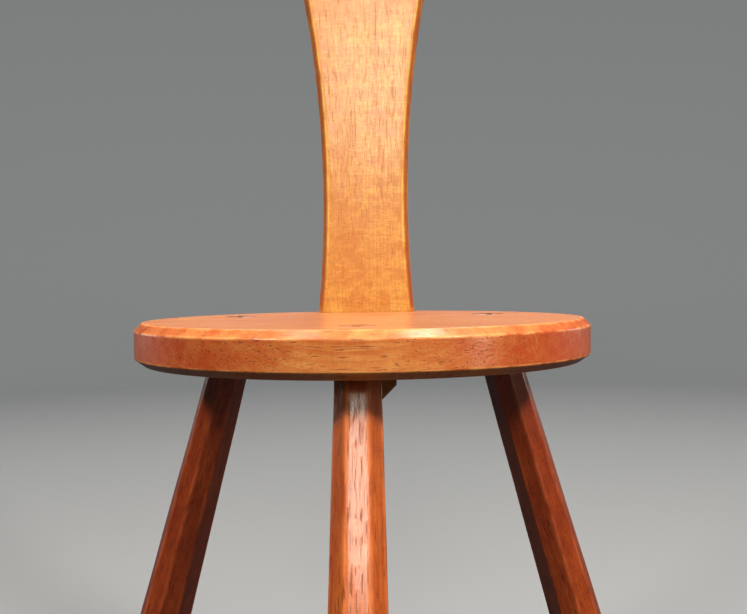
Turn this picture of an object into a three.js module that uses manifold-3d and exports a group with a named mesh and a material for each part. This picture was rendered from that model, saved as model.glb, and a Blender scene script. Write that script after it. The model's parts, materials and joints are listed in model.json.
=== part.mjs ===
// Three-legged oak stool with a plank back, as glued and wedged joinery.
// Millimetres, +Z up, the front leg points to -Y. The origin is on the floor, at the
// centre of the stool's outline.

import * as THREE from 'three';
import { mergeVertices } from 'three/addons/utils/BufferGeometryUtils.js';
import Module from 'manifold-3d';

const wasm = await Module();
wasm.setup();

const degrees = THREE.MathUtils.degToRad;

// Driving dimensions
const GAP = 0.3;                      // clearance that stands for each glue line

const SEAT_HEIGHT = 400;              // floor to seat top
const SEAT_RADIUS = 165;
const SEAT_THICKNESS = 30;
const SEAT_TOP_BEVEL = 5;
const SEAT_LOWER_BEVEL_WIDTH = 7;
const SEAT_LOWER_BEVEL_HEIGHT = 5;

const LEG_AZIMUTHS = { front: -90, rear_left: 150, rear_right: 30 };
const LEG_SPLAY = degrees(18.9);      // lean of each leg from the vertical
const LEG_CIRCLE = 123.5;             // seat centre to leg axis, at the seat's underside
const LEG_TOP_WIDTH = 29;             // across the flats of the octagon, under the seat
const LEG_FOOT_WIDTH = 44.5;          // across the flats, at the floor
const LEG_SIDES = 8;

const TENON_RADIUS = 12;              // round tenon on the end of each leg
const KERF_DEPTH = 24;                // saw cut that the wedge spreads
const KERF_TOP_WIDTH = 4.2;
const KERF_FLOOR_WIDTH = 1.2;
const WEDGE_STANDOFF = 1.5;           // the wedge stops this far above the saw cut's floor

const BACK_RAKE = degrees(8);
const BACK_THICKNESS = 21;
const BACK_FRONT_FACE = 127;          // seat centre to the back's front face, at the seat top
const BACK_EDGE_CHAMFER = 4.5;
const BACK_FOOT_HALF_WIDTH = 42;
const WAIST_HALF_WIDTH = 37.4;
const WAIST_HEIGHT = 95;
const WAIST_PULL = 165;               // how strongly the edge keeps to the waist as it rises
const HEAD_HALF_WIDTH = 73;
const HEAD_WIDEST_HEIGHT = 398;
const HEAD_PULL_DOWN = 45;            // the same at the head's widest place, below it and above
const HEAD_PULL_UP = 41;
const LOBE_TOP_HEIGHT = 473;
const LOBE_OFFSET = 21;               // each lobe's top, from the centre line
const LOBE_PULL = 29;
const NOTCH_HEIGHT = 465;             // bottom of the V between the two lobes

const HEART_HEIGHT = 384;             // the heart's tip, above the seat
const HEART_HALF_WIDTH = 18;
const HEART_LENGTH = 41;
const HEART_SHOULDER = 28;            // its widest place, above the tip
const HEART_BELLY = 19;               // the sides swell out this far above the tip
const HEART_CLEFT = 8;                // depth of the V between the heart's two bumps

const BACK_TENON_WIDTH = 51;
const BACK_TENON_THICKNESS = 20;
const BACK_TENON_BELOW_SEAT = 45;     // how far it stands out under the seat
const BACK_TENON_CLIP = 13;           // its clipped lower corners

const KEY_THICKNESS = 9;              // wedge through the back's tenon, under the seat
const KEY_HEAD_HEIGHT = 23;
const KEY_TAIL_HEIGHT = 17;
const KEY_LENGTH = 66;
const KEY_HEAD_REACH = 26;            // how far its thick end stands out in front
const KEY_EASING = 1.5;               // small bevels along its edges
const KEY_SLOT_HEADROOM = 3;          // the slot runs up into the seat, so the key can draw

const CURVE_STEPS = 20;
const SEAT_SEGMENTS = 120;
const TENON_SEGMENTS = 40;
const SAW_BOX = 2000;                 // side of the blocks that trim ends off
const TOUCHING = 1e-4;                // points closer than this are one point

const UNDERSIDE = SEAT_HEIGHT - SEAT_THICKNESS;

// Solids: closed three.js geometry in, manifold out, and back again

function solid(geometry) {
  const bare = geometry.clone();
  bare.deleteAttribute('normal');
  bare.deleteAttribute('uv');
  const merged = mergeVertices(bare, TOUCHING);
  const mesh = new wasm.Mesh({
    numProp: 3,
    vertProperties: new Float32Array(merged.attributes.position.array),
    triVerts: new Uint32Array(merged.index.array),
  });
  return new wasm.Manifold(mesh);
}

function part(name, shape, colour, roughness) {
  const { numProp, vertProperties, triVerts } = shape.getMesh();
  const geometry = new THREE.BufferGeometry();
  const positions = new THREE.InterleavedBuffer(vertProperties, numProp);
  geometry.setAttribute('position', new THREE.InterleavedBufferAttribute(positions, 3, 0));
  geometry.setIndex(new THREE.BufferAttribute(triVerts, 1));
  geometry.computeVertexNormals();
  const material = new THREE.MeshStandardMaterial({ color: colour, roughness, metalness: 0 });
  const mesh = new THREE.Mesh(geometry, material);
  mesh.name = name;
  return mesh;
}

// A block that fills everything above a level, or below it
function spaceAbove(level) {
  return solid(new THREE.BoxGeometry(SAW_BOX, SAW_BOX, SAW_BOX).translate(0, 0, level + SAW_BOX / 2));
}

function spaceBelow(level) {
  return solid(new THREE.BoxGeometry(SAW_BOX, SAW_BOX, SAW_BOX).translate(0, 0, level - SAW_BOX / 2));
}

// An outline from its right half, drawn upwards and ending on the centre line
function symmetricShape(rightHalf) {
  const right = rightHalf.getPoints(CURVE_STEPS);
  const besideCentreLine = right.filter((point) => Math.abs(point.x) > TOUCHING);
  const left = besideCentreLine.map((point) => new THREE.Vector2(-point.x, point.y));
  return new THREE.Shape([...right, ...left.reverse()]);
}

// Seat

function seatBlank() {
  const bevelFoot = SEAT_RADIUS - SEAT_LOWER_BEVEL_WIDTH;
  const profile = [
    new THREE.Vector2(0, UNDERSIDE),
    new THREE.Vector2(bevelFoot, UNDERSIDE),
    new THREE.Vector2(SEAT_RADIUS, UNDERSIDE + SEAT_LOWER_BEVEL_HEIGHT),
    new THREE.Vector2(SEAT_RADIUS, SEAT_HEIGHT - SEAT_TOP_BEVEL),
    new THREE.Vector2(SEAT_RADIUS - SEAT_TOP_BEVEL, SEAT_HEIGHT),
    new THREE.Vector2(0, SEAT_HEIGHT),
  ];
  return solid(new THREE.LatheGeometry(profile, SEAT_SEGMENTS).rotateX(Math.PI / 2));
}

// Legs: each is drawn upright, its axis on +Z and its foot leaning out to +X, with the
// seat's underside at its origin, and then leaned and turned into place

function legPlacement(azimuth) {
  const turn = degrees(azimuth);
  const place = new THREE.Matrix4().makeTranslation(
    LEG_CIRCLE * Math.cos(turn), LEG_CIRCLE * Math.sin(turn), UNDERSIDE);
  place.multiply(new THREE.Matrix4().makeRotationZ(turn));
  place.multiply(new THREE.Matrix4().makeRotationY(-LEG_SPLAY));
  return place;
}

function upright(radiusTop, radiusBottom, top, bottom, sides, firstCorner = 0) {
  const height = top - bottom;
  return new THREE.CylinderGeometry(radiusTop, radiusBottom, height, sides, 1, false, firstCorner)
    .rotateX(Math.PI / 2)
    .translate(0, 0, (top + bottom) / 2);
}

function legTenon(azimuth, radius) {
  const reach = SEAT_THICKNESS / Math.cos(LEG_SPLAY) + radius;
  const post = upright(radius, radius, reach, -radius, TENON_SEGMENTS);
  return solid(post.applyMatrix4(legPlacement(azimuth)));
}

function legBody(azimuth) {
  const length = UNDERSIDE / Math.cos(LEG_SPLAY);
  const growth = (LEG_FOOT_WIDTH - LEG_TOP_WIDTH) / length;
  const overrun = LEG_FOOT_WIDTH;
  const cornerRadius = (along) => (LEG_TOP_WIDTH - growth * along) / 2 / Math.cos(Math.PI / LEG_SIDES);
  const bottom = -length - overrun;
  const body = upright(
    cornerRadius(overrun), cornerRadius(bottom), overrun, bottom, LEG_SIDES, Math.PI / LEG_SIDES);
  return solid(body.applyMatrix4(legPlacement(azimuth)))
    .subtract(spaceAbove(UNDERSIDE - GAP))
    .subtract(spaceBelow(0));
}

// The saw cut and its wedge stand across the seat's grain, which runs along X
function kerfBlade(azimuth, inset, standoff) {
  const topLevel = SEAT_THICKNESS / Math.cos(LEG_SPLAY);
  const halfTop = KERF_TOP_WIDTH / 2 - inset;
  const halfFloor = KERF_FLOOR_WIDTH / 2 - inset;
  const flare = (halfTop - halfFloor) / KERF_DEPTH;
  const overrun = TENON_RADIUS;
  const section = new THREE.Shape([
    new THREE.Vector2(-halfFloor - flare * standoff, topLevel - KERF_DEPTH + standoff),
    new THREE.Vector2(halfFloor + flare * standoff, topLevel - KERF_DEPTH + standoff),
    new THREE.Vector2(halfTop + flare * overrun, topLevel + overrun),
    new THREE.Vector2(-halfTop - flare * overrun, topLevel + overrun),
  ]);
  const span = 4 * TENON_RADIUS;
  const blade = new THREE.ExtrudeGeometry(section, { depth: span, bevelEnabled: false });
  blade.rotateX(Math.PI / 2).translate(0, span / 2, 0).rotateZ(-degrees(azimuth));
  return solid(blade.applyMatrix4(legPlacement(azimuth)));
}

function leg(azimuth) {
  const tenon = legTenon(azimuth, TENON_RADIUS).subtract(spaceAbove(SEAT_HEIGHT));
  return legBody(azimuth).add(tenon).subtract(kerfBlade(azimuth, 0, 0));
}

function legWedge(azimuth) {
  return kerfBlade(azimuth, GAP, WEDGE_STANDOFF)
    .intersect(legTenon(azimuth, TENON_RADIUS))
    .subtract(spaceAbove(SEAT_HEIGHT));
}

// Back: drawn flat, X across and Y up from the seat top, then stood up and leaned back

function standBack(geometry, thickness) {
  const inset = (BACK_THICKNESS - thickness) / 2;
  return geometry
    .rotateX(Math.PI / 2)
    .translate(0, thickness + inset, 0)
    .rotateX(-BACK_RAKE)
    .translate(0, BACK_FRONT_FACE, SEAT_HEIGHT);
}

function backOutline() {
  const belowSeat = 4 * BACK_EDGE_CHAMFER;
  const half = new THREE.Path();
  half.moveTo(BACK_FOOT_HALF_WIDTH, -belowSeat);
  half.lineTo(BACK_FOOT_HALF_WIDTH, 0);
  half.quadraticCurveTo(WAIST_HALF_WIDTH, WAIST_HEIGHT / 2, WAIST_HALF_WIDTH, WAIST_HEIGHT);
  half.bezierCurveTo(
    WAIST_HALF_WIDTH, WAIST_HEIGHT + WAIST_PULL,
    HEAD_HALF_WIDTH, HEAD_WIDEST_HEIGHT - HEAD_PULL_DOWN,
    HEAD_HALF_WIDTH, HEAD_WIDEST_HEIGHT);
  half.bezierCurveTo(
    HEAD_HALF_WIDTH, HEAD_WIDEST_HEIGHT + HEAD_PULL_UP,
    LOBE_OFFSET + LOBE_PULL, LOBE_TOP_HEIGHT,
    LOBE_OFFSET, LOBE_TOP_HEIGHT);
  half.quadraticCurveTo(LOBE_OFFSET / 3, LOBE_TOP_HEIGHT, 0, NOTCH_HEIGHT);
  return symmetricShape(half);
}

function heartOutline() {
  const bumpTop = HEART_HEIGHT + HEART_LENGTH;
  const half = new THREE.Path();
  half.moveTo(0, HEART_HEIGHT);
  half.quadraticCurveTo(
    HEART_HALF_WIDTH, HEART_HEIGHT + HEART_BELLY,
    HEART_HALF_WIDTH, HEART_HEIGHT + HEART_SHOULDER);
  half.quadraticCurveTo(HEART_HALF_WIDTH, bumpTop, HEART_HALF_WIDTH / 2, bumpTop);
  half.quadraticCurveTo(0, bumpTop, 0, bumpTop - HEART_CLEFT);
  return symmetricShape(half);
}

// The heart is cut square through the board
function heartCut() {
  const depth = 2 * BACK_THICKNESS;
  const bore = new THREE.ExtrudeGeometry(heartOutline(), { depth, bevelEnabled: false });
  return solid(standBack(bore, depth));
}

function backTenonOutline(margin) {
  const halfWidth = BACK_TENON_WIDTH / 2 + margin;
  const end = -(SEAT_THICKNESS + BACK_TENON_BELOW_SEAT) / Math.cos(BACK_RAKE) - margin;
  const intoBoard = 2 * BACK_EDGE_CHAMFER;
  return new THREE.Shape([
    new THREE.Vector2(-halfWidth + BACK_TENON_CLIP, end),
    new THREE.Vector2(halfWidth - BACK_TENON_CLIP, end),
    new THREE.Vector2(halfWidth, end + BACK_TENON_CLIP),
    new THREE.Vector2(halfWidth, intoBoard),
    new THREE.Vector2(-halfWidth, intoBoard),
    new THREE.Vector2(-halfWidth, end + BACK_TENON_CLIP),
  ]);
}

function backTenon(margin) {
  const depth = BACK_TENON_THICKNESS + 2 * margin;
  const blank = new THREE.ExtrudeGeometry(backTenonOutline(margin), { depth, bevelEnabled: false });
  return solid(standBack(blank, depth));
}

function backBoard() {
  const board = new THREE.ExtrudeGeometry(backOutline(), {
    depth: BACK_THICKNESS - 2 * BACK_EDGE_CHAMFER,
    bevelThickness: BACK_EDGE_CHAMFER,
    bevelSize: BACK_EDGE_CHAMFER,
    bevelOffset: -BACK_EDGE_CHAMFER,
    bevelSegments: 1,
  });
  board.translate(0, 0, BACK_EDGE_CHAMFER);
  return solid(standBack(board, BACK_THICKNESS)).subtract(spaceBelow(SEAT_HEIGHT + GAP));
}

// Key: a tapered wedge driven from the front through the back's tenon. Its straight
// upper edge bears on the seat's underside.

function keyOutline(headroom, margin) {
  const head = -KEY_HEAD_REACH - margin;
  const tail = head + KEY_LENGTH + 2 * margin;
  return new THREE.Shape([
    new THREE.Vector2(head, -KEY_HEAD_HEIGHT - margin),
    new THREE.Vector2(tail, -KEY_TAIL_HEIGHT - margin),
    new THREE.Vector2(tail, headroom),
    new THREE.Vector2(head, headroom),
  ]);
}

function placeKey(geometry, thickness) {
  const tenonFace = BACK_FRONT_FACE - SEAT_THICKNESS * Math.tan(BACK_RAKE);
  return geometry
    .rotateX(Math.PI / 2)
    .rotateZ(Math.PI / 2)
    .translate(-thickness / 2, tenonFace, UNDERSIDE - GAP);
}

function keySlot() {
  const depth = KEY_THICKNESS + 2 * GAP;
  const outline = keyOutline(KEY_SLOT_HEADROOM, GAP);
  const blank = new THREE.ExtrudeGeometry(outline, { depth, bevelEnabled: false });
  return solid(placeKey(blank, depth));
}

function lockingKey() {
  const blank = new THREE.ExtrudeGeometry(keyOutline(0, 0), {
    depth: KEY_THICKNESS - 2 * KEY_EASING,
    bevelThickness: KEY_EASING,
    bevelSize: KEY_EASING,
    bevelOffset: -KEY_EASING,
    bevelSegments: 1,
  });
  blank.translate(0, 0, KEY_EASING);
  return solid(placeKey(blank, KEY_THICKNESS));
}

// Assembly

function seat() {
  let board = seatBlank().subtract(backTenon(GAP));
  for (const azimuth of Object.values(LEG_AZIMUTHS)) {
    board = board.subtract(legTenon(azimuth, TENON_RADIUS + GAP));
  }
  return board;
}

function backSplat() {
  return backBoard().add(backTenon(0)).subtract(heartCut()).subtract(keySlot());
}

const SEAT_COLOUR = '#c8743c';
const BACK_COLOUR = '#dd9356';
const LEG_COLOUR = '#9c4d24';
const WEDGE_COLOUR = '#6d3418';
const VARNISH_ROUGHNESS = 0.32;
const CUT_END_ROUGHNESS = 0.5;

const stool = new THREE.Group();
stool.add(part('seat', seat(), SEAT_COLOUR, VARNISH_ROUGHNESS));
stool.add(part('back_splat', backSplat(), BACK_COLOUR, VARNISH_ROUGHNESS));
stool.add(part('back_locking_wedge', lockingKey(), WEDGE_COLOUR, CUT_END_ROUGHNESS));
for (const [place, azimuth] of Object.entries(LEG_AZIMUTHS)) {
  stool.add(part(`${place}_leg`, leg(azimuth), LEG_COLOUR, VARNISH_ROUGHNESS));
  stool.add(part(`${place}_leg_wedge`, legWedge(azimuth), WEDGE_COLOUR, CUT_END_ROUGHNESS));
}

// The front foot and the back's head reach unequal distances from the seat's centre
const outline = new THREE.Box3().setFromObject(stool, true);
stool.position.y = -(outline.min.y + outline.max.y) / 2;

export default stool;
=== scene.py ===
"""Looks for the three-legged oak stool: eased and worn joinery in varnished oak, on a pale
studio sweep. Blender 4.5, metres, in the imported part's frame."""

import json
import math
from collections import namedtuple

import bmesh
import bpy
from mathutils import Matrix, Vector, noise
from mathutils.geometry import tessellate_polygon


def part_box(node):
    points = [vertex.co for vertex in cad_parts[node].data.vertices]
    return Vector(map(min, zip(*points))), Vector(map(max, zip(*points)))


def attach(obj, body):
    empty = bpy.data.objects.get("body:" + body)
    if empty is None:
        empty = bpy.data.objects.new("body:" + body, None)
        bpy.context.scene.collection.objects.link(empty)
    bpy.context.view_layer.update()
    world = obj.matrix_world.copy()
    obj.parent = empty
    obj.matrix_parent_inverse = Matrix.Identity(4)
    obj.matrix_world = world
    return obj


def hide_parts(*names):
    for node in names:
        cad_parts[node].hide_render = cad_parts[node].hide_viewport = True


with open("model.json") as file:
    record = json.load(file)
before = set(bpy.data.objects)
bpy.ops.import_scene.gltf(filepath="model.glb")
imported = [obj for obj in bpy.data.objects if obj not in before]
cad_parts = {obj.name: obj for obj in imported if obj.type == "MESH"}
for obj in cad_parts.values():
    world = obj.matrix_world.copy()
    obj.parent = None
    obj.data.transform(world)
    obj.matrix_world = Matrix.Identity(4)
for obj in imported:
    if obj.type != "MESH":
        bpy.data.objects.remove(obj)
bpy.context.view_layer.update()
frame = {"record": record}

BODY = "root"
MM = 0.001
TINY = 1e-7
SHARP_FROM = math.radians(32)

# ---------------------------------------------------------------- sizes and places

GLUE_LINE = 0.15 * MM
LEAST_LEAN = 0.35
# Share of the chamfers' darker colour that is laid between them.
MIDDLE_DARKNESS = 0.4
FLAT_HOLD = 3 * MM
OVERCUT = 20 * MM
ROUND_SEGMENTS = 64

SEAT_LOW, SEAT_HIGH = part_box("seat")
SEAT_TOP = SEAT_HIGH.z
UNDERSIDE = SEAT_LOW.z
SEAT_RADIUS = (SEAT_HIGH.x - SEAT_LOW.x) / 2
SEAT_CENTRE = Vector((0, (SEAT_LOW.y + SEAT_HIGH.y) / 2, SEAT_TOP))
SEAT_TOP_BEVEL = 5.2 * MM
SEAT_BEVEL_VARIES = 0.3 * MM
SEAT_BEVEL_WIDEST = math.radians(185)
SEAT_BEVEL_TREMORS = 3.0
SEAT_BEVEL_TREMOR_SHARE = 0.35
# Floor of wear on the whole top bevel, which paints it paler: partly rubbing, partly painted light
# where the lamps fall bright on it.
SEAT_BEVEL_WEAR_AND_LIGHT = 0.55
SEAT_LOWER_BEVEL = Vector((7 * MM, 5 * MM))
SEAT_EASING = 1.6 * MM
SEAT_HOLD = 0.8 * MM
SEAT_SEGMENTS = 240

FEET = {m["name"].replace("_foot", ""): Vector(m["pos_m"])
        for m in frame["record"]["mounts"] if m["name"].endswith("_foot")}
LEG_SPLAY = math.radians(18.9)
LEG_TOP_WIDTH = 29 * MM
LEG_FOOT_WIDTH = 44.5 * MM
LEG_FACE_WIDER = 1.15
LEG_EASING = 1.5 * MM
LEG_STEPS = 40
FOOT_EASING = 1.6 * MM
FOOT_ROUND = 0.5 * MM
DRAWKNIFE_DEPTH = 0.35 * MM
DRAWKNIFE_WAVES = (45, 45, 14)
TENON_RADIUS = 12 * MM
TENON_PROUD = 0.2 * MM
TENON_EASING = 0.4 * MM
TENON_HOLD = 2 * MM
KERF_DEPTH = 24 * MM
KERF_TOP_WIDTH = 4.2 * MM
KERF_FLOOR_WIDTH = 1.2 * MM
WEDGE_STANDOFF = 1.5 * MM

BACK_RAKE = math.radians(8)
BACK_UP = Vector((0, math.sin(BACK_RAKE), math.cos(BACK_RAKE)))
BACK_REARWARDS = Vector((0, math.cos(BACK_RAKE), -math.sin(BACK_RAKE)))
BACK_THICKNESS = 21 * MM
BACK_FRONT_FACE = 127 * MM
BACK_CHAMFER = 4.5 * MM
BACK_EASING = 1.0 * MM
BACK_FOOT_HALF = 42 * MM
BACK_OVERRUN = 18 * MM
WAIST_HALF = 37.4 * MM
WAIST_HEIGHT = 95 * MM
WAIST_PULL = 165 * MM
HEAD_HALF = (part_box("back_splat")[1].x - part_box("back_splat")[0].x) / 2
HEAD_WIDEST = 398 * MM
HEAD_PULL_DOWN = 45 * MM
HEAD_PULL_UP = 41 * MM
LOBE_TOP = 473 * MM
LOBE_OFFSET = 21 * MM
LOBE_PULL = 29 * MM
NOTCH_HEIGHT = 465 * MM
HEART_TIP = 384 * MM
HEART_HALF = 18 * MM
HEART_LENGTH = 41 * MM
HEART_SHOULDER = 28 * MM
HEART_BELLY = 19 * MM
HEART_CLEFT = 8 * MM
HEART_CHAMFER = 1.6 * MM
BACK_TENON_HALF = 25.5 * MM
BACK_TENON_THICKNESS = 20 * MM
BACK_TENON_BELOW_SEAT = 45 * MM
BACK_TENON_INTO_BOARD = 10 * MM
BACK_TENON_CLIP = 13 * MM
BACK_TENON_CHAMFER = 0.9 * MM
BACK_TENON_EASING = 0.4 * MM

KEY_LOW, KEY_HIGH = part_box("back_locking_wedge")
KEY_TAIL_HEIGHT = 17 * MM
KEY_EASING = 1.5 * MM
KEY_CORNER = 2 * MM
KEY_SLOT_EASING = 0.4 * MM
KEY_SLOT_HEADROOM = 3 * MM

# ---------------------------------------------------------------- outlines


def bezier(start, control_a, control_b, end, steps=20):
    """Points after start along a cubic curve."""
    points = []
    for i in range(1, steps + 1):
        t = i / steps
        s = 1 - t
        points.append(Vector(start) * s ** 3 + 3 * Vector(control_a) * s * s * t
                      + 3 * Vector(control_b) * s * t * t + Vector(end) * t ** 3)
    return points


def quadratic(start, control, end, steps=16):
    """Points after start along a quadratic curve."""
    a, b, c = Vector(start), Vector(control), Vector(end)
    return bezier(a, a.lerp(b, 2 / 3), c.lerp(b, 2 / 3), c, steps)


def mirrored(right_half):
    """A closed outline from its right half, which is drawn upwards and ends on the centre line."""
    left = [Vector((-p.x, p.y)) for p in reversed(right_half) if abs(p.x) > TINY]
    return right_half + left


def back_outline():
    """The back seen square on. It runs on below the seat's top, and is trimmed there later."""
    foot = Vector((BACK_FOOT_HALF, -BACK_OVERRUN))
    shoulder = Vector((BACK_FOOT_HALF, 0))
    waist = Vector((WAIST_HALF, WAIST_HEIGHT))
    above_waist = waist + Vector((0, WAIST_PULL))
    widest = Vector((HEAD_HALF, HEAD_WIDEST))
    below_widest = widest - Vector((0, HEAD_PULL_DOWN))
    above_widest = widest + Vector((0, HEAD_PULL_UP))
    lobe = Vector((LOBE_OFFSET, LOBE_TOP))
    half = [foot, shoulder]
    half += quadratic(shoulder, (WAIST_HALF, WAIST_HEIGHT / 2), waist)
    half += bezier(waist, above_waist, below_widest, widest, steps=36)
    half += bezier(widest, above_widest, lobe + Vector((LOBE_PULL, 0)), lobe, steps=36)
    half += quadratic(lobe, (LOBE_OFFSET / 3, LOBE_TOP), (0, NOTCH_HEIGHT))
    return mirrored(half)


def heart_outline():
    bump_top = HEART_TIP + HEART_LENGTH
    tip = Vector((0, HEART_TIP))
    side = Vector((HEART_HALF, HEART_TIP + HEART_SHOULDER))
    crown = Vector((HEART_HALF / 2, bump_top))
    half = [tip]
    half += quadratic(tip, (HEART_HALF, HEART_TIP + HEART_BELLY), side, steps=20)
    half += quadratic(side, (HEART_HALF, bump_top), crown)
    half += quadratic(crown, (0, bump_top), (0, bump_top - HEART_CLEFT))
    return mirrored(half)


def eased(corners, radius, closed=False, steps=3, hold=2.5 * MM):
    """Rounds an outline's corners. Returns points with a wear value each, 1 on a rounded corner,
    and puts a plain point at hold from it on each side, which keeps the flats flat."""
    count = len(corners)
    points = []
    for i, corner in enumerate(corners):
        corner = Vector(corner)
        if not closed and i in (0, count - 1):
            points.append((corner, 0.0))
            continue
        to_last = Vector(corners[i - 1]) - corner
        to_next = Vector(corners[(i + 1) % count]) - corner
        half_turn = (math.pi - to_last.angle(to_next)) / 2
        run = radius * math.tan(half_turn)
        before, after = to_last.normalized(), to_next.normalized()
        if to_last.length > 2 * (run + hold):
            points.append((corner + before * (run + hold), 0.0))
        start, end = corner + before * run, corner + after * run
        for k in range(steps + 1):
            t = k / steps
            points.append((start * (1 - t) ** 2 + corner * 2 * t * (1 - t) + end * t * t, 1.0))
        if to_next.length > 2 * (run + hold):
            points.append((corner + after * (run + hold), 0.0))
    return points


def inset(outline, distance):
    """A closed counter-clockwise outline moved inwards, with its corners kept sharp. Where the two
    halves of a cleft would cross over its centre line, they meet on it instead."""
    moved = []
    count = len(outline)
    for i, point in enumerate(outline):
        before = (point - outline[i - 1]).normalized()
        after = (outline[(i + 1) % count] - point).normalized()
        inward = Vector((-before.y - after.y, before.x + after.x)).normalized()
        lean = max(inward.dot(Vector((-after.y, after.x))), LEAST_LEAN)
        moved.append(point + inward * distance / lean)
    crossed = [i for i, point in enumerate(moved) if point.x * outline[i].x < 0]
    if crossed:
        meeting = Vector((0, max(moved[i].y for i in crossed)))
        for i in range(crossed[0], crossed[-1] + 1):
            moved[i] = meeting.copy()
    return moved

# ---------------------------------------------------------------- meshes


def add_object(name, vertices, faces, wear, grime=None):
    """A mesh object. Its wear attribute is 1 along edges that rubbing has paled, and on the seat's
    top bevel also carries painted light; grime is 1 where the colour is laid darker.
    """
    mesh = bpy.data.meshes.new(name)
    mesh.from_pydata([tuple(v) for v in vertices], [], faces)
    mesh.validate()
    for attribute, values in (("wear", wear), ("grime", grime or [0.0] * len(wear))):
        mesh.attributes.new(attribute, "FLOAT", "POINT").data.foreach_set("value", values)
    thing = bpy.data.objects.new(name, mesh)
    bpy.context.collection.objects.link(thing)
    return thing


def outward(thing):
    """Turns every face to look outwards."""
    bm = bmesh.new()
    bm.from_mesh(thing.data)
    bmesh.ops.remove_doubles(bm, verts=bm.verts, dist=TINY)
    bmesh.ops.recalc_face_normals(bm, faces=bm.faces)
    bm.to_mesh(thing.data)
    bm.free()


def bake_modifiers(thing):
    bpy.context.view_layer.update()
    graph = bpy.context.evaluated_depsgraph_get()
    thing.data = bpy.data.meshes.new_from_object(thing.evaluated_get(graph), depsgraph=graph)
    thing.modifiers.clear()


def boolean(thing, operation, *tools):
    """Joins, cuts or trims thing with each tool, and removes the tools."""
    for tool in tools:
        step = thing.modifiers.new(operation.lower(), "BOOLEAN")
        step.operation = operation
        step.solver = "EXACT"
        step.object = tool
        bake_modifiers(thing)
        bpy.data.objects.remove(tool)
    return thing


def circle(segments):
    return [2 * math.pi * i / segments for i in range(segments)]


def band_faces(first, rows, size):
    """Quads that join stacked rings of size points each. The lowest ring starts at point first."""
    faces = []
    for row in range(rows - 1):
        for i in range(size):
            j = (i + 1) % size
            low, high = first + row * size, first + (row + 1) * size
            faces.append((low + i, low + j, high + j, high + i))
    return faces


def loft(name, rings, wear):
    """Skins a stack of equal rings and closes both ends."""
    size = len(rings[0])
    last = (len(rings) - 1) * size
    vertices = [point for ring in rings for point in ring]
    faces = band_faces(0, len(rings), size)
    faces.append(tuple(range(size - 1, -1, -1)))
    faces.append(tuple(range(last, last + size)))
    thing = add_object(name, vertices, faces, wear)
    outward(thing)
    return thing


def lathe(name, profile_at, centre, segments):
    """Turns a profile of ((radius, height), wear), which starts and ends on the axis.
    profile_at gives the profile for each direction, always with the same number of points."""
    turns = circle(segments)
    profiles = [profile_at(turn)[1:-1] for turn in turns]
    rings, wear = [], []
    for level in zip(*profiles):
        ring = []
        for turn, ((radius, height), rubbed_and_lit) in zip(turns, level):
            ring.append(centre + Vector((radius * math.cos(turn), radius * math.sin(turn), height)))
            wear.append(rubbed_and_lit)
        rings.append(ring)
    return loft(name, rings, wear)


def chamfer_darkness_at(distance, depth, bevel, easing, thickness):
    """How much darker the colour is laid at a point of a board's edge: all on the chamfers, some
    between them and none on the faces."""
    if distance > bevel - easing / 2:
        return 0.0
    nearest_face = min(depth, thickness - depth)
    return 1.0 if nearest_face < bevel + 2 * easing else MIDDLE_DARKNESS


def plate(name, outline, thickness, chamfer, easing, place, hole=None, hole_chamfer=0.0):
    """A board with chamfered, eased edges. place turns (across, up, depth) into the row frame,
    and depth runs from 0 at one face to thickness at the other."""
    vertices, faces, wear, grime = [], [], [], []
    near_loops, far_loops = [], []

    def edge_band(loop, bevel, direction):
        hold = bevel + FLAT_HOLD
        section = eased([(hold, 0), (bevel, 0), (0, bevel), (0, thickness - bevel),
                         (bevel, thickness), (hold, thickness)], easing)
        first = len(vertices)
        for (distance, depth), rubbed_and_lit in section:
            for point in inset(loop, direction * distance):
                vertices.append(place(point.x, point.y, depth))
                wear.append(rubbed_and_lit)
                grime.append(chamfer_darkness_at(distance, depth, bevel, easing, thickness))
        size = len(loop)
        last = first + (len(section) - 1) * size
        faces.extend(band_faces(first, len(section), size))
        inner = inset(loop, direction * hold)
        near_loops.append((range(first, first + size), inner))
        far_loops.append((range(last, last + size), inner))

    edge_band(outline, chamfer, 1)
    if hole:
        edge_band(hole, hole_chamfer, -1)
    for loops in (near_loops, far_loops):
        numbers = [n for indices, _ in loops for n in indices]
        for triangle in tessellate_polygon([[p.to_3d() for p in points] for _, points in loops]):
            faces.append(tuple(numbers[k] for k in triangle))
    thing = add_object(name, vertices, faces, wear, grime)
    outward(thing)
    return thing


def block(name, low, high):
    """A plain box, used only to cut with."""
    corners = [Vector((x, y, z)) for z in (low.z, high.z)
               for x, y in ((low.x, low.y), (high.x, low.y), (high.x, high.y), (low.x, high.y))]
    return loft(name, [corners[:4], corners[4:]], [0.0] * 8)


def finish_piece(thing, node, material):
    """Smooth shading, material, and the piece's place in the frame."""
    thing.data.materials.clear()
    thing.data.materials.append(material)
    thing.data.shade_smooth()
    thing.data.set_sharp_from_angle(angle=SHARP_FROM)
    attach(thing, BODY)
    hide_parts(node)

# ---------------------------------------------------------------- legs


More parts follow.
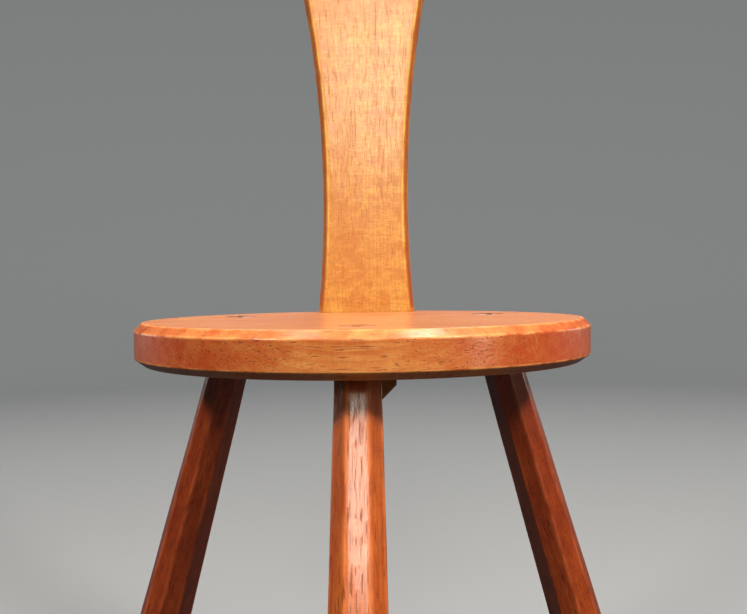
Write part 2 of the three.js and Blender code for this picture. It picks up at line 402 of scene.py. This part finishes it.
class Leg:
    """One leg's axis, and the places around it."""

    def __init__(self, name):
        self.name = name
        self.foot = FEET[name]
        splayed = Vector((self.foot.x, self.foot.y - SEAT_CENTRE.y, 0)).normalized()
        upright = Vector((0, 0, 1))
        self.up = (upright * math.cos(LEG_SPLAY) - splayed * math.sin(LEG_SPLAY)).normalized()
        self.side = self.up.cross(splayed).normalized()
        self.front = self.side.cross(self.up)

    def axis_at(self, height):
        return self.foot + self.up * (height / self.up.z)

    def at(self, outwards, sideways, height):
        """A point beside the axis, slid along the leg until it is at this height."""
        point = self.axis_at(height) + self.front * outwards + self.side * sideways
        return point - self.up * ((point.z - height) / self.up.z)

    def ring(self, radius, turns, height):
        """A round section, cut level."""
        return [self.at(radius * math.cos(turn), radius * math.sin(turn), height) for turn in turns]

    def width(self, height):
        return LEG_FOOT_WIDTH + (LEG_TOP_WIDTH - LEG_FOOT_WIDTH) * height / UNDERSIDE


def octagon(width, easing):
    """A leg's section. The flats that face out and in are a little wider than the others."""
    half = width / 2
    flat = half * math.tan(math.pi / 8)
    wide = flat * LEG_FACE_WIDER
    front = [(half, -wide), (half, wide), (flat, half)]
    rear = [(-flat, half), (-half, wide), (-half, -wide)]
    corners = front + rear + [(-flat, -half), (flat, -half)]
    return eased(corners, easing, closed=True, hold=FLAT_HOLD)


def hand_shaved(point, centre, depth):
    """Moves a surface point a little in or out, as a drawknife leaves it."""
    x, y, z = (along * waves for along, waves in zip(point, DRAWKNIFE_WAVES))
    return point + (point - centre).normalized() * noise.noise(Vector((x, y, z))) * depth


def leg_mesh(leg):
    shoulder = UNDERSIDE - 2 * GLUE_LINE
    shaved_from = FOOT_EASING + FLAT_HOLD
    shaved_length = shoulder - shaved_from
    levels = [(0, FOOT_EASING), (FOOT_ROUND, FOOT_ROUND), (FOOT_EASING, 0), (shaved_from, 0)]
    levels += [(shaved_from + shaved_length * (i + 1) / LEG_STEPS, 0) for i in range(LEG_STEPS)]
    rings, wear = [], []
    for height, shrink in levels:
        section = octagon(leg.width(height) - 2 * shrink, LEG_EASING)
        centre = leg.axis_at(height)
        ring = []
        for point, rubbed_and_lit in section:
            place = leg.at(point.x, point.y, height)
            if shaved_from < height < shoulder:
                place = hand_shaved(place, centre, DRAWKNIFE_DEPTH)
            ring.append(place)
            wear.append(max(rubbed_and_lit, 1.0 if height < FOOT_EASING else 0.0))
        rings.append(ring)
    turns = [math.atan2(point.y, point.x) for point, _ in section]
    tenon_levels = [(shoulder, 0), (SEAT_TOP - TENON_HOLD, 0), (SEAT_TOP, 0),
                    (SEAT_TOP + TENON_PROUD, TENON_EASING)]
    for height, shrink in tenon_levels:
        rings.append(leg.ring(TENON_RADIUS - shrink, turns, height))
        wear += [1.0 if shrink else 0.0] * len(turns)
    thing = loft(leg.name + "_leg_turned", rings, wear)
    return boolean(thing, "DIFFERENCE", kerf_blade(leg, 0.0, 0.0))


def kerf_blade(leg, slack, standoff):
    """The saw cut's shape, or with slack the wedge's, across the seat's grain."""
    depthways = Vector((0, 1, 0))
    across = (depthways - leg.up * depthways.dot(leg.up)).normalized()
    thin = leg.up.cross(across)
    top = leg.axis_at(SEAT_TOP)
    flare = (KERF_TOP_WIDTH - KERF_FLOOR_WIDTH) / 2 / KERF_DEPTH
    floor = standoff - KERF_DEPTH
    overrun = TENON_RADIUS
    rings = []
    for end in (-2 * TENON_RADIUS, 2 * TENON_RADIUS):
        ring = []
        for along, side in ((floor, -1), (floor, 1), (overrun, 1), (overrun, -1)):
            half = KERF_TOP_WIDTH / 2 + flare * along - slack
            ring.append(top + leg.up * along + across * end + thin * half * side)
        rings.append(ring)
    return loft(leg.name + "_blade", rings, [0.0] * 8)


def round_post(leg, radius, low, high, name):
    """A round bar along the leg's axis, used only to cut with."""
    rings = [leg.ring(radius, circle(ROUND_SEGMENTS), height) for height in (low, high)]
    return loft(name, rings, [0.0] * (2 * ROUND_SEGMENTS))


def leg_wedge_mesh(leg):
    wedge = kerf_blade(leg, GLUE_LINE, WEDGE_STANDOFF)
    wedge.name = wedge.data.name = leg.name + "_tenon_wedge"
    post = round_post(leg, TENON_RADIUS, UNDERSIDE, SEAT_TOP + TENON_PROUD / 2, "trim_post")
    return boolean(wedge, "INTERSECT", post)

# ---------------------------------------------------------------- seat


def seat_profile(turn):
    """The seat's section in one direction. The upper bevel is cut by hand, so its width varies. The
    whole upper bevel gets a floor of wear, which paints it paler: partly rubbing, partly painted
    light.
    """
    thickness = SEAT_TOP - UNDERSIDE
    tremor = noise.noise(Vector((math.cos(turn), math.sin(turn), 0)) * SEAT_BEVEL_TREMORS)
    wander = math.cos(turn - SEAT_BEVEL_WIDEST) + SEAT_BEVEL_TREMOR_SHARE * tremor
    bevel = SEAT_TOP_BEVEL + SEAT_BEVEL_VARIES * wander
    corners = [(0, -thickness), (SEAT_RADIUS - SEAT_LOWER_BEVEL.x, -thickness),
               (SEAT_RADIUS, -thickness + SEAT_LOWER_BEVEL.y), (SEAT_RADIUS, -bevel),
               (SEAT_RADIUS - bevel, 0), (0, 0)]
    profile = []
    for point, wear in eased(corners, SEAT_EASING, hold=SEAT_HOLD):
        # Painted light: the floor on the bevel pales it partly for the light that falls on it, not
        # only for rubbing.
        on_bevel = -bevel < point.y < 0
        profile.append((point, max(wear, SEAT_BEVEL_WEAR_AND_LIGHT) if on_bevel else wear))
    return profile


def seat_mesh(legs):
    thing = lathe("seat_board", seat_profile, SEAT_CENTRE, SEAT_SEGMENTS)
    low, high = UNDERSIDE - OVERCUT, SEAT_TOP + OVERCUT
    cutters = [round_post(leg, TENON_RADIUS + GLUE_LINE, low, high, "mortise") for leg in legs]
    cutters.append(back_tenon_mesh("back_mortise", GLUE_LINE))
    return boolean(thing, "DIFFERENCE", *cutters)

# ---------------------------------------------------------------- back


def on_back(thickness):
    """Places (across, up, depth) on the raked back. Depth starts at its rear side."""
    front = SEAT_CENTRE + Vector((0, BACK_FRONT_FACE, 0))
    corner = front + BACK_REARWARDS * (BACK_THICKNESS + thickness) / 2

    def place(across, height, depth):
        return corner + Vector((across, 0, 0)) + BACK_UP * height - BACK_REARWARDS * depth
    return place


def back_tenon_mesh(name, slack):
    """The tenon through the seat with its end corners clipped, or with slack its mortise."""
    bottom = -(SEAT_TOP - UNDERSIDE + BACK_TENON_BELOW_SEAT) / math.cos(BACK_RAKE) - slack
    top = BACK_TENON_INTO_BOARD
    half = BACK_TENON_HALF + slack
    clip = BACK_TENON_CLIP
    right = [Vector((half - clip, bottom)), Vector((half, bottom + clip)), Vector((half, top))]
    left = [Vector((-half, top)), Vector((-half, bottom + clip)), Vector((-half + clip, bottom))]
    thickness = BACK_TENON_THICKNESS + 2 * slack
    return plate(name, right + left, thickness, BACK_TENON_CHAMFER, BACK_TENON_EASING,
                 on_back(thickness))


def back_mesh():
    board = plate("back_board", back_outline(), BACK_THICKNESS, BACK_CHAMFER, BACK_EASING,
                  on_back(BACK_THICKNESS), hole=heart_outline(), hole_chamfer=HEART_CHAMFER)
    trim_low = SEAT_CENTRE - Vector((1, 1, 0.5))
    trim_high = SEAT_CENTRE + Vector((1, 1, 0))
    trim_high.z = SEAT_TOP + GLUE_LINE
    boolean(board, "DIFFERENCE", block("below_seat", trim_low, trim_high))
    boolean(board, "UNION", back_tenon_mesh("back_tenon", 0.0))
    key_slot = key_mesh("key_slot", 2 * GLUE_LINE, headroom=KEY_SLOT_HEADROOM)
    return boolean(board, "DIFFERENCE", key_slot)


def key_mesh(name, slack, headroom=0.0):
    """The tapered key, or with slack and headroom the slot that it sits in."""
    thickness = KEY_HIGH.x - KEY_LOW.x + 2 * slack
    left = KEY_LOW.x - slack
    front, rear = KEY_LOW.y - slack, KEY_HIGH.y + slack
    top = KEY_HIGH.z + headroom
    outline = [Vector((front, KEY_LOW.z - slack)),
               Vector((rear, KEY_HIGH.z - KEY_TAIL_HEIGHT - slack)),
               Vector((rear, top)), Vector((front, top))]
    easing = KEY_SLOT_EASING
    if not headroom:
        easing = KEY_EASING
        rounded = eased(outline, KEY_CORNER, closed=True, hold=FLAT_HOLD)
        outline = [point for point, _ in rounded]
    return plate(name, outline, thickness, easing, easing / 2,
                 lambda across, height, depth: Vector((left + depth, across, height)))

# ---------------------------------------------------------------- materials

# Noise in the wood, in features per metre across a board, out of its face and along its grain
SWAY = (6.0, 6.0, 1.8)
RIPPLE = (45.0, 45.0, 8.0)
FIBRE = (480.0, 480.0, 9.0)
STREAK = (85.0, 85.0, 3.0)
PORES = (1150.0, 1150.0, 95.0)
CURL = (11.0, 30.0, 120.0)
CLOUD = (24.0, 24.0, 9.0)
MOTTLE = (120.0, 120.0, 55.0)
RUBBED_PATCH = (120.0, 120.0, 40.0)
VARNISH_POOL = (38.0, 38.0, 12.0)
# Medullary rays, in features per metre out from the pith, round it and along the grain
RAYS = (42.0, 210.0, 380.0)

SWAY_REACH = 34 * MM
RIPPLE_REACH = 4.5 * MM

Shades = namedtuple("Shades", "light dark deep")
BACK_OAK = Shades((0.555, 0.295, 0.052), (0.4, 0.14, 0.016), (0.27, 0.07, 0.008))
SEAT_OAK = Shades((0.62, 0.267, 0.072), (0.46, 0.115, 0.02), (0.4, 0.042, 0.004))
FRONT_LEG_OAK = Shades((0.48, 0.12, 0.018), (0.32, 0.053, 0.008), (0.18, 0.018, 0.003))
# A darker copy of the leg oak for the two rear legs: its darkness is painted shade for the seat's
# shadow over them.
SHADED_REAR_LEG_OAK = Shades((0.38, 0.07, 0.01), (0.22, 0.025, 0.004), (0.12, 0.01, 0.002))
END_OAK = Shades((0.26, 0.07, 0.016), (0.13, 0.03, 0.007), (0.08, 0.017, 0.005))
# The darker colour laid on the chamfers.
CHAMFER_DARK_COLOUR = (0.22, 0.038, 0.01)
VARNISH_TINT = (1.0, 0.94, 0.84)


class Graph:
    """Adds shader nodes to a material, each joined to what it reads."""

    def __init__(self, material):
        self.tree = material.node_tree

    def node(self, kind, inputs, output=0, **settings):
        node = self.tree.nodes.new(kind)
        for key, value in settings.items():
            setattr(node, key, value)
        for key, value in inputs.items():
            self.put(node.inputs[key], value)
        return node.outputs[output]

    def put(self, socket, value):
        if isinstance(value, bpy.types.NodeSocket):
            self.tree.links.new(value, socket)
        else:
            socket.default_value = value

    def math(self, operation, a, b=0.0):
        return self.node("ShaderNodeMath", {0: a, 1: b}, operation=operation)

    def product(self, a, b):
        return self.math("MULTIPLY", a, b)

    def total(self, start, *terms):
        """start plus each (value, weight)."""
        result = start
        for value, weight in terms:
            result = self.math("ADD", result, self.product(value, weight))
        return result

    def stretch(self, vector, factors):
        return self.node("ShaderNodeVectorMath", {0: vector, 1: factors}, operation="MULTIPLY")

    def noise(self, vector, per_metre, detail=2.0, roughness=0.5):
        """Noise whose features are 1 / per_metre long on each axis, from about 0.2 to 0.8."""
        return self.node("ShaderNodeTexNoise", {
            "Vector": self.stretch(vector, per_metre), "Scale": 1.0, "Detail": detail,
            "Roughness": roughness})

    def ramp(self, value, low, high, out_low=0.0, out_high=1.0):
        return self.node("ShaderNodeMapRange", {
            "Value": value, "From Min": low, "From Max": high, "To Min": out_low, "To Max": out_high},
            interpolation_type="SMOOTHSTEP")

    def attribute(self, name):
        return self.node("ShaderNodeAttribute", {}, output=2, attribute_name=name)

    def bump(self, height, distance):
        return self.node("ShaderNodeBump", {"Strength": 0.35, "Distance": distance, "Height": height})

    def mix(self, factor, a, b):
        return self.node("ShaderNodeMix", {0: factor, 6: a, 7: b}, output=2, data_type="RGBA")

    def layers(self, colour, *coats):
        """Lays each (cover, paint) over colour in turn."""
        for cover, paint in coats:
            colour = self.mix(cover, colour, rgba(paint))
        return colour


def rgba(colour):
    return (*colour, 1.0)


def scaled(colour, factor, offset=0.0):
    return [min(1.0, channel * factor + offset) for channel in colour]


class Timber:
    """How one board was cut: where its grain runs, where its pith was, and its figure."""

    def __init__(self, origin, grain, face, pith, ring_width=3 * MM, rays=0.2, curl=0.0, pores=0.6):
        z = Vector(grain).normalized()
        y = (Vector(face) - z * Vector(face).dot(z)).normalized()
        x = y.cross(z)
        turn = Matrix((x, y, z))
        self.grain = z
        self.rotation = turn.to_euler("XYZ")
        self.location = -(turn @ Vector(origin))
        self.pith = pith
        self.rings_per_metre = 1 / ring_width
        self.rays = rays
        self.curl = curl
        self.pores = pores


def wood_space(g, timber):
    """Coordinates in the board, with x and y across it and z along the grain, and how far each
    point of the surface faces along the grain."""
    here = g.tree.nodes.new("ShaderNodeTexCoord")
    wood = g.node("ShaderNodeMapping", {"Vector": here.outputs["Object"], "Location": timber.location,
                                        "Rotation": timber.rotation})
    facing = g.node("ShaderNodeVectorMath", {0: here.outputs["Normal"], 1: timber.grain}, output=1,
                    operation="DOT_PRODUCT")
    return wood, g.ramp(g.math("ABSOLUTE", facing), 0.05, 0.72)


def growth_rings(g, wood, timber):
    """Distance from the pith with slow waves in it, 0 to 1 across each year's ring, and the
    distance round the pith and along the board."""
    sway = g.math("SUBTRACT", g.noise(wood, SWAY, detail=3.0), 0.5)
    ripple = g.math("SUBTRACT", g.noise(wood, RIPPLE, detail=3.0), 0.5)
    bend = g.total(0.0, (sway, SWAY_REACH), (ripple, RIPPLE_REACH))
    from_pith = g.node("ShaderNodeVectorMath", {0: wood, 1: (*timber.pith, 0)}, operation="SUBTRACT")
    split = g.tree.nodes.new("ShaderNodeSeparateXYZ")
    g.put(split.inputs[0], from_pith)
    x, y, z = split.outputs
    straight = g.math("SQRT", g.math("ADD", g.product(x, x), g.product(y, y)))
    radius = g.math("ADD", straight, bend)
    year = g.math("FRACT", g.product(radius, timber.rings_per_metre))
    around = g.product(g.math("ARCTAN2", y, x), math.hypot(*timber.pith))
    return radius, year, around, z


class Figure:
    """What shows on a board's cut surface. Each field is a shader value between 0 and 1."""

    def __init__(self, g, timber):
        wood, self.end_grain = wood_space(g, timber)
        radius, year, around, along = growth_rings(g, wood, timber)

        # Early wood is a band of open pores, late wood is dense and darker
        early = g.product(g.ramp(year, 0.0, 0.12), g.ramp(year, 0.62, 0.3))
        self.late = g.product(g.ramp(year, 0.45, 0.9), g.ramp(year, 1.0, 0.94))
        specks = g.ramp(g.noise(wood, PORES, detail=1.0), 0.55, 0.64)
        self.pores = g.product(specks, g.ramp(early, 0.0, 0.8, 0.25, 1.0))

        # Medullary rays run out from the pith. They show as ribbons on a face cut along them.
        ray_place = g.node("ShaderNodeCombineXYZ", {0: radius, 1: around, 2: along})
        ribbon = g.noise(ray_place, RAYS, detail=3.0, roughness=0.6)
        self.rays = g.ramp(ribbon, 0.5, 0.66)
        self.ray_edges = g.product(g.ramp(ribbon, 0.44, 0.5), g.ramp(ribbon, 0.56, 0.51))

        self.fibre = g.noise(wood, FIBRE, detail=4.0, roughness=0.62)
        self.streak = g.noise(wood, STREAK, detail=3.0, roughness=0.6)
        self.curl = g.noise(wood, CURL, detail=4.0, roughness=0.65)
        self.cloud = g.noise(wood, CLOUD, detail=4.0)
        self.mottle = g.noise(wood, MOTTLE, detail=4.0, roughness=0.65)
        self.patch = g.noise(wood, RUBBED_PATCH, detail=3.0)
        self.pool = g.noise(wood, VARNISH_POOL, detail=2.0)


def stained_wood(g, figure, timber, shades):
    """The wood's colour under the varnish, before wear."""
    tone = g.total(0.0, (g.ramp(figure.streak, 0.3, 0.7), 0.35),
                   (g.ramp(figure.mottle, 0.3, 0.7), 0.55),
                   (g.ramp(figure.fibre, 0.3, 0.7), 0.2), (figure.late, -0.3),
                   (g.ramp(figure.curl, 0.35, 0.65), -timber.curl))
    end_stain = g.product(figure.end_grain, g.ramp(figure.mottle, 0.3, 0.65, 0.95, 0.65))
    return g.layers(g.mix(tone, rgba(shades.dark), rgba(shades.light)),
                    (g.ramp(figure.cloud, 0.44, 0.68, 0.0, 0.6), shades.dark),
                    (end_stain, shades.deep),
                    (g.product(figure.rays, timber.rays * 0.7), scaled(shades.light, 1.15)),
                    (g.product(figure.ray_edges, timber.rays * 1.6), shades.deep),
                    (g.product(figure.pores, timber.pores), scaled(shades.deep, 0.35)))


def varnish(g, shader, figure, worn_and_lit, roughness, coat, film):
    """A glossy film over the wood. It is thin over pores and worn places, follows the grain a
    little, and has slow waves of its own."""
    rough = g.total(roughness - 0.05, (figure.fibre, 0.12), (worn_and_lit, 0.18), (figure.rays, -0.06))
    thin = g.total(0.0, (figure.pores, 0.5), (worn_and_lit, 0.4))
    relief = g.total(0.0, (figure.fibre, 0.3), (figure.pores, -0.9), (figure.rays, 0.15))
    waves = g.total(0.0, (figure.pool, 1.6), (relief, 0.45))
    g.put(shader.inputs["Roughness"], rough)
    g.put(shader.inputs["Normal"], g.bump(relief, 0.3 * MM))
    g.put(shader.inputs["Coat Weight"], g.product(g.math("SUBTRACT", 1.0, thin), coat))
    g.put(shader.inputs["Coat Normal"], g.bump(waves, 0.35 * MM))
    shader.inputs["Specular IOR Level"].default_value = 0.3
    shader.inputs["Coat Roughness"].default_value = film
    shader.inputs["Coat IOR"].default_value = 1.5
    shader.inputs["Coat Tint"].default_value = rgba(VARNISH_TINT)


def oak(name, timber, shades, roughness=0.4, coat=0.9, film=0.12):
    """Varnished oak as a solid texture. The colour is laid darker on the chamfers, and the arrises
    have gone pale in patches from rubbing; on the seat's top bevel that paleness is partly painted
    light."""
    material = bpy.data.materials.new(name)
    material.use_nodes = True
    g = Graph(material)
    shader = material.node_tree.nodes["Principled BSDF"]
    figure = Figure(g, timber)
    # Edges paled by rubbing, in patches; on the seat's top bevel this paleness is partly painted
    # light.
    worn_and_lit = g.product(g.ramp(g.attribute("wear"), 0.25, 1.0), g.ramp(figure.patch, 0.35, 0.6))
    # The chamfers' colour is laid darker, in patches.
    darker_chamfers = g.product(g.attribute("grime"), g.ramp(figure.patch, 0.2, 0.7, 0.9, 0.65))
    colour = g.layers(stained_wood(g, figure, timber, shades),
                      (g.product(worn_and_lit, 0.5), scaled(shades.light, 1.3, 0.02)),
                      (darker_chamfers, CHAMFER_DARK_COLOUR))
    g.put(shader.inputs["Base Color"], colour)
    varnish(g, shader, figure, worn_and_lit, roughness, coat, film)
    return material

# ---------------------------------------------------------------- build


def build_seat(legs):
    timber = Timber(SEAT_CENTRE, (1, 0, 0), (0, 0, 1), pith=(0.03, -0.16),
                    ring_width=4.5 * MM, rays=0.1)
    seat_oak = oak("seat_oak", timber, SEAT_OAK, roughness=0.5, coat=0.65, film=0.2)
    finish_piece(seat_mesh(legs), "seat", seat_oak)


def build_back():
    timber = Timber(SEAT_CENTRE, BACK_UP, (0, -1, 0), pith=(0.24, 0.0),
                    ring_width=2.6 * MM, rays=0.22, curl=0.38, pores=0.3)
    back_oak = oak("back_oak", timber, BACK_OAK, coat=0.6, film=0.15)
    finish_piece(back_mesh(), "back_splat", back_oak)


def build_key():
    timber = Timber(KEY_LOW, (0, 1, 0), (1, 0, 0), pith=(0.03, 0.02))
    key_oak = oak("key_oak", timber, END_OAK)
    finish_piece(key_mesh("back_key", 0.0), "back_locking_wedge", key_oak)


def build_leg(leg, pith):
    timber = Timber(leg.foot, leg.up, leg.front, pith, rays=0.1)
    # The rear legs take the darker copy: painted shade for the seat's shadow over them.
    shades = FRONT_LEG_OAK if leg.name == "front" else SHADED_REAR_LEG_OAK
    leg_oak = oak(leg.name + "_leg_oak", timber, shades)
    finish_piece(leg_mesh(leg), leg.name + "_leg", leg_oak)
    wedge_oak = oak(leg.name + "_wedge_oak", timber, END_OAK, roughness=0.5)
    finish_piece(leg_wedge_mesh(leg), leg.name + "_leg_wedge", wedge_oak)


legs = [Leg(name) for name in FEET]
build_seat(legs)
build_back()
build_key()
for index, leg in enumerate(legs):
    build_leg(leg, pith=(0.045 - 0.02 * index, 0.05 + 0.015 * index))

# ---------------------------------------------------------------- studio

PAPER = (0.28, 0.29, 0.3)
PAPER_GLOW = (0.93, 0.97, 1.0)
GLOW_FROM = 0.8
GLOW_FULL = 4.5
GLOW_STRENGTH = 0.13
FLOOR_RADIUS = 3.5
SWEEP_BEND = 2.0
WALL_TOP = 5.0
STUDIO_SEGMENTS = 96
FAR = 4

WARM = (1.0, 0.93, 0.84)
WINDOW = (0.93, 0.96, 0.81)
NEUTRAL = (1.0, 0.97, 0.94)
COOL = (0.93, 0.96, 1.0)


def stage_piece(name, profile, material, casts_shadow):
    """A turned piece of studio background from a profile of (radius, height)."""
    vertices = [(radius * math.cos(turn), radius * math.sin(turn), height)
                for radius, height in profile for turn in circle(STUDIO_SEGMENTS)]
    inward = [face[::-1] for face in band_faces(0, len(profile), STUDIO_SEGMENTS)]
    disc = [tuple(range(STUDIO_SEGMENTS))]
    mesh = bpy.data.meshes.new(name)
    mesh.from_pydata(vertices, [], inward or disc)
    mesh.shade_smooth()
    mesh.materials.append(material)
    thing = bpy.data.objects.new(name, mesh)
    bpy.context.collection.objects.link(thing)
    thing.visible_shadow = casts_shadow
    thing.visible_diffuse = False
    thing.visible_glossy = False


def pale_paper():
    """Matt paper that glows a little more with distance, so that the far side isn't dull."""
    paper = bpy.data.materials.new("pale_paper")
    paper.use_nodes = True
    shader = paper.node_tree.nodes["Principled BSDF"]
    g = Graph(paper)
    here = g.node("ShaderNodeTexCoord", {}, output=3)
    reach = g.node("ShaderNodeVectorMath", {0: here}, output=1, operation="LENGTH")
    glow = g.ramp(reach, GLOW_FROM, GLOW_FULL, 0.0, GLOW_STRENGTH)
    g.put(shader.inputs["Emission Strength"], glow)
    shader.inputs["Emission Color"].default_value = rgba(PAPER_GLOW)
    shader.inputs["Base Color"].default_value = rgba(PAPER)
    shader.inputs["Roughness"].default_value = 0.95
    shader.inputs["Specular IOR Level"].default_value = 0.1
    return paper


def studio_sweep():
    """A pale floor, and a distant wall that it curves up into. The wall lets the lights through."""
    paper = pale_paper()
    turns = [math.radians(degrees) for degrees in range(0, 91, 6)]
    curve = [(FLOOR_RADIUS + SWEEP_BEND * math.sin(turn), SWEEP_BEND - SWEEP_BEND * math.cos(turn))
             for turn in turns]
    stage_piece("floor", [(FLOOR_RADIUS, 0.0)], paper, True)
    stage_piece("wall", curve + [(FLOOR_RADIUS + SWEEP_BEND, WALL_TOP)], paper, False)


def aim(holder, place, target):
    holder.location = place
    holder.rotation_euler = (Vector(target) - Vector(place)).to_track_quat("-Z", "Y").to_euler()


def soft_light(name, place, size, watts, colour, target=SEAT_CENTRE):
    """A rectangular soft box that faces its target."""
    lamp = bpy.data.lights.new(name, "AREA")
    lamp.shape = "RECTANGLE"
    lamp.size, lamp.size_y = size
    lamp.energy = watts
    lamp.color = colour
    holder = bpy.data.objects.new(name, lamp)
    holder.visible_camera = False
    bpy.context.collection.objects.link(holder)
    aim(holder, place, target)


def far_light(name, elevation, width, strength, colour):
    """A wide, distant soft light in front of the stool."""
    lamp = bpy.data.lights.new(name, "SUN")
    lamp.angle = math.radians(width)
    lamp.energy = strength
    lamp.color = colour
    lamp.cycles.use_multiple_importance_sampling = False
    holder = bpy.data.objects.new(name, lamp)
    bpy.context.collection.objects.link(holder)
    rise = math.radians(elevation)
    towards = Vector((0, -math.cos(rise), math.sin(rise)))
    aim(holder, SEAT_CENTRE + towards * FAR, SEAT_CENTRE)


def room_glow(strength, colour):
    world = bpy.data.worlds.new("studio")
    bpy.context.scene.world = world
    world.use_nodes = True
    background = world.node_tree.nodes["Background"]
    background.inputs["Color"].default_value = rgba(colour)
    background.inputs["Strength"].default_value = strength


studio_sweep()
far_light("front_glow", 27.5, 10.5, 0.35, WINDOW)
far_light("front_low", 20, 10, 0.05, WARM)
soft_light("key_left", (-1.15, -0.92, 1.75), (0.35, 0.35), 31, WARM)
soft_light("key_right", (1.15, -0.92, 1.75), (0.35, 0.35), 47, WARM)
soft_light("key_front", (0.0, -1.4, 2.0), (0.5, 0.3), 11, WARM)
soft_light("ceiling_left", (-0.69, -0.35, 2.6), (0.35, 1.0), 10, WARM, (-0.69, -0.349, 0))
soft_light("ceiling_right", (0.69, -0.35, 2.6), (0.35, 1.0), 28, WARM, (0.69, -0.349, 0))
soft_light("low_right", (2.0, -1.3, 0.5), (0.4, 0.6), 5, WARM)
soft_light("rear_left", (-2.3, 1.6, 0.7), (0.8, 0.6), 7, NEUTRAL)
soft_light("rear_right", (2.3, 1.6, 0.7), (0.8, 0.6), 7, NEUTRAL)
soft_light("rear_high", (0.0, 2.1, 2.3), (1.6, 0.9), 40, NEUTRAL)
room_glow(0.07, COOL)

# ---------------------------------------------------------------- camera

CAMERA_DISTANCE = 0.74
CAMERA_RISE = 0.0302
CAMERA_SIDE = 0.0082
CAMERA_SWING = math.radians(0.9)
CAMERA_PITCH = math.radians(1.7)
CAMERA_ROLL = math.radians(-0.7)
LENS = 48.2

swing = Matrix.Rotation(CAMERA_SWING, 4, "Z")
look = swing @ Vector((0, math.cos(CAMERA_PITCH), -math.sin(CAMERA_PITCH)))
camera_data = bpy.data.cameras.new("camera")
camera_data.lens = LENS
camera_data.sensor_width = 36
camera = bpy.data.objects.new("camera", camera_data)
bpy.context.collection.objects.link(camera)
camera.location = SEAT_CENTRE + swing @ Vector((CAMERA_SIDE, -CAMERA_DISTANCE, CAMERA_RISE))
upright = look.to_track_quat("-Z", "Y").to_matrix().to_4x4()
camera.rotation_euler = (upright @ Matrix.Rotation(CAMERA_ROLL, 4, "Z")).to_euler()
bpy.context.scene.camera = camera

bpy.context.scene.view_settings.view_transform = "Standard"
